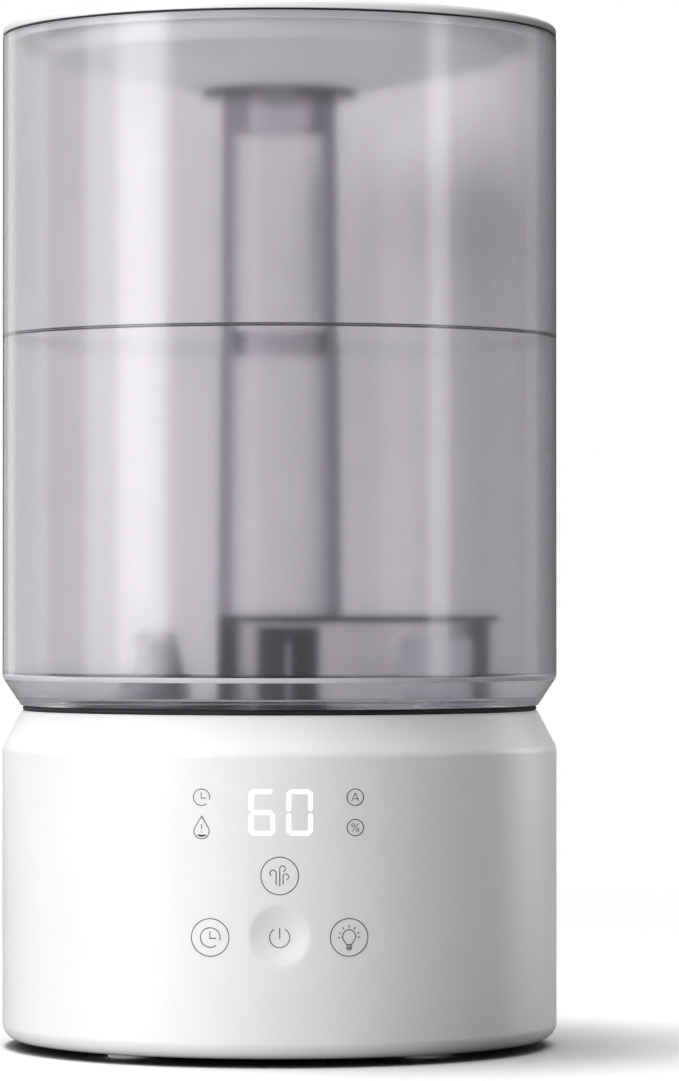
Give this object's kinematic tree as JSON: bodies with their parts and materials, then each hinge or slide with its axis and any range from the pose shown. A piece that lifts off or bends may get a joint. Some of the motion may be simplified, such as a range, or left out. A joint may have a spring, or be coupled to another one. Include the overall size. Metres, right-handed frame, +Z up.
{
  "type": "cool mist humidifier",
  "caption": "Tall round cool mist humidifier: white base with display and touch keys, smoke-clear lift-off water tank, dished lid with a turning mist nozzle.",
  "frame": {"origin": "on the standing plane, at the centre line", "axes": "+Z up, front with the display and touch keys faces -Y"},
  "size_m": [0.165, 0.165, 0.3054],
  "materials": {
    "white_plastic": "satin white moulding",
    "tray_plastic": "satin off-white moulding",
    "smoke_plastic": "see-through grey smoke, polished",
    "dark_plastic": "black moulding",
    "black_silicone": "matt silicone",
    "clear_silicone": "milky silicone",
    "lens_plastic": "milky light lens",
    "board_green": "solder mask",
    "steel": "bright steel",
    "magnet": "plated magnet",
    "aluminium": "plain",
    "copper": "copper wire and springs",
    "cable_jacket": "black sleeve"
  },
  "bodies": {
    "base": {"base_housing": "white_plastic", "water_tray": "tray_plastic", "air_duct": "tray_plastic", "bottom_cover": "white_plastic", "tank_seat_ring": "black_silicone", "foot_1": "clear_silicone", "foot_2": "clear_silicone", "foot_3": "clear_silicone", "foot_4": "clear_silicone", "housing_screw_1": "steel", "housing_screw_2": "steel", "housing_screw_3": "steel", "housing_screw_4": "steel", "splash_guide": "dark_plastic", "transducer_disc": "steel", "transducer_seal": "black_silicone", "transducer_clamp": "aluminium", "clamp_screw_1": "steel", "clamp_screw_2": "steel", "clamp_screw_3": "steel", "driver_board": "board_green", "board_screw_1": "steel", "board_screw_2": "steel", "heat_sink": "aluminium", "inductor": "copper", "capacitor": "cable_jacket", "display_board": "board_green", "digit_display": "dark_plastic", "indicator_shroud_left": "dark_plastic", "indicator_shroud_right": "dark_plastic", "touch_spring_mist": "copper", "touch_spring_power": "copper", "touch_spring_timer": "copper", "touch_spring_light": "copper", "fan_frame": "dark_plastic", "fan_seal": "black_silicone", "dc_jack": "dark_plastic", "humidity_sensor": "board_green", "level_sensor": "board_green", "night_light_board": "board_green", "night_light_lens": "lens_plastic", "float_cap": "tray_plastic", "fan_lead": "cable_jacket", "transducer_lead": "cable_jacket", "display_lead": "cable_jacket", "jack_lead": "cable_jacket"},
    "fan_wheel": {"fan_rotor": "dark_plastic"},
    "level_float": {"float": "tray_plastic", "float_magnet": "magnet"},
    "tank": {"tank_shell": "smoke_plastic", "tank_floor": "smoke_plastic", "valve_body": "smoke_plastic", "valve_spring": "steel"},
    "plunger": {"valve_plunger": "tray_plastic", "valve_washer": "black_silicone"},
    "lid": {"lid_dish": "white_plastic", "lid_gasket": "black_silicone", "nozzle_collar": "smoke_plastic", "mist_tube": "smoke_plastic"},
    "nozzle": {"nozzle_cap": "white_plastic"}
  },
  "joints": [
    {"name": "tank_lift", "type": "slide", "parent": "base", "child": "tank", "axis": [0, 0, 1], "range_m": [0, 0.08]},
    {"name": "lid_lift", "type": "slide", "parent": "tank", "child": "lid", "axis": [0, 0, 1], "range_m": [0, 0.1]},
    {"name": "nozzle_turn", "type": "hinge", "parent": "lid", "child": "nozzle", "pos_m": [0, 0, 0.3], "axis": [0, 0, 1], "continuous": true},
    {"name": "valve_close", "type": "slide", "parent": "tank", "child": "plunger", "axis": [0, 0, 1], "range_m": [-0.0025, 0], "deforming": ["valve_spring"]},
    {"name": "float_rise", "type": "slide", "parent": "base", "child": "level_float", "axis": [0, 0, 1], "range_m": [0, 0.007]},
    {"name": "fan_spin", "type": "hinge", "parent": "base", "child": "fan_wheel", "pos_m": [0.046, 0, 0.081], "axis": [0, 0, 1], "continuous": true}
  ],
  "couplings": [
    {"joint": "valve_close", "follows": "tank_lift", "ratio": -0.03125}
  ]
}
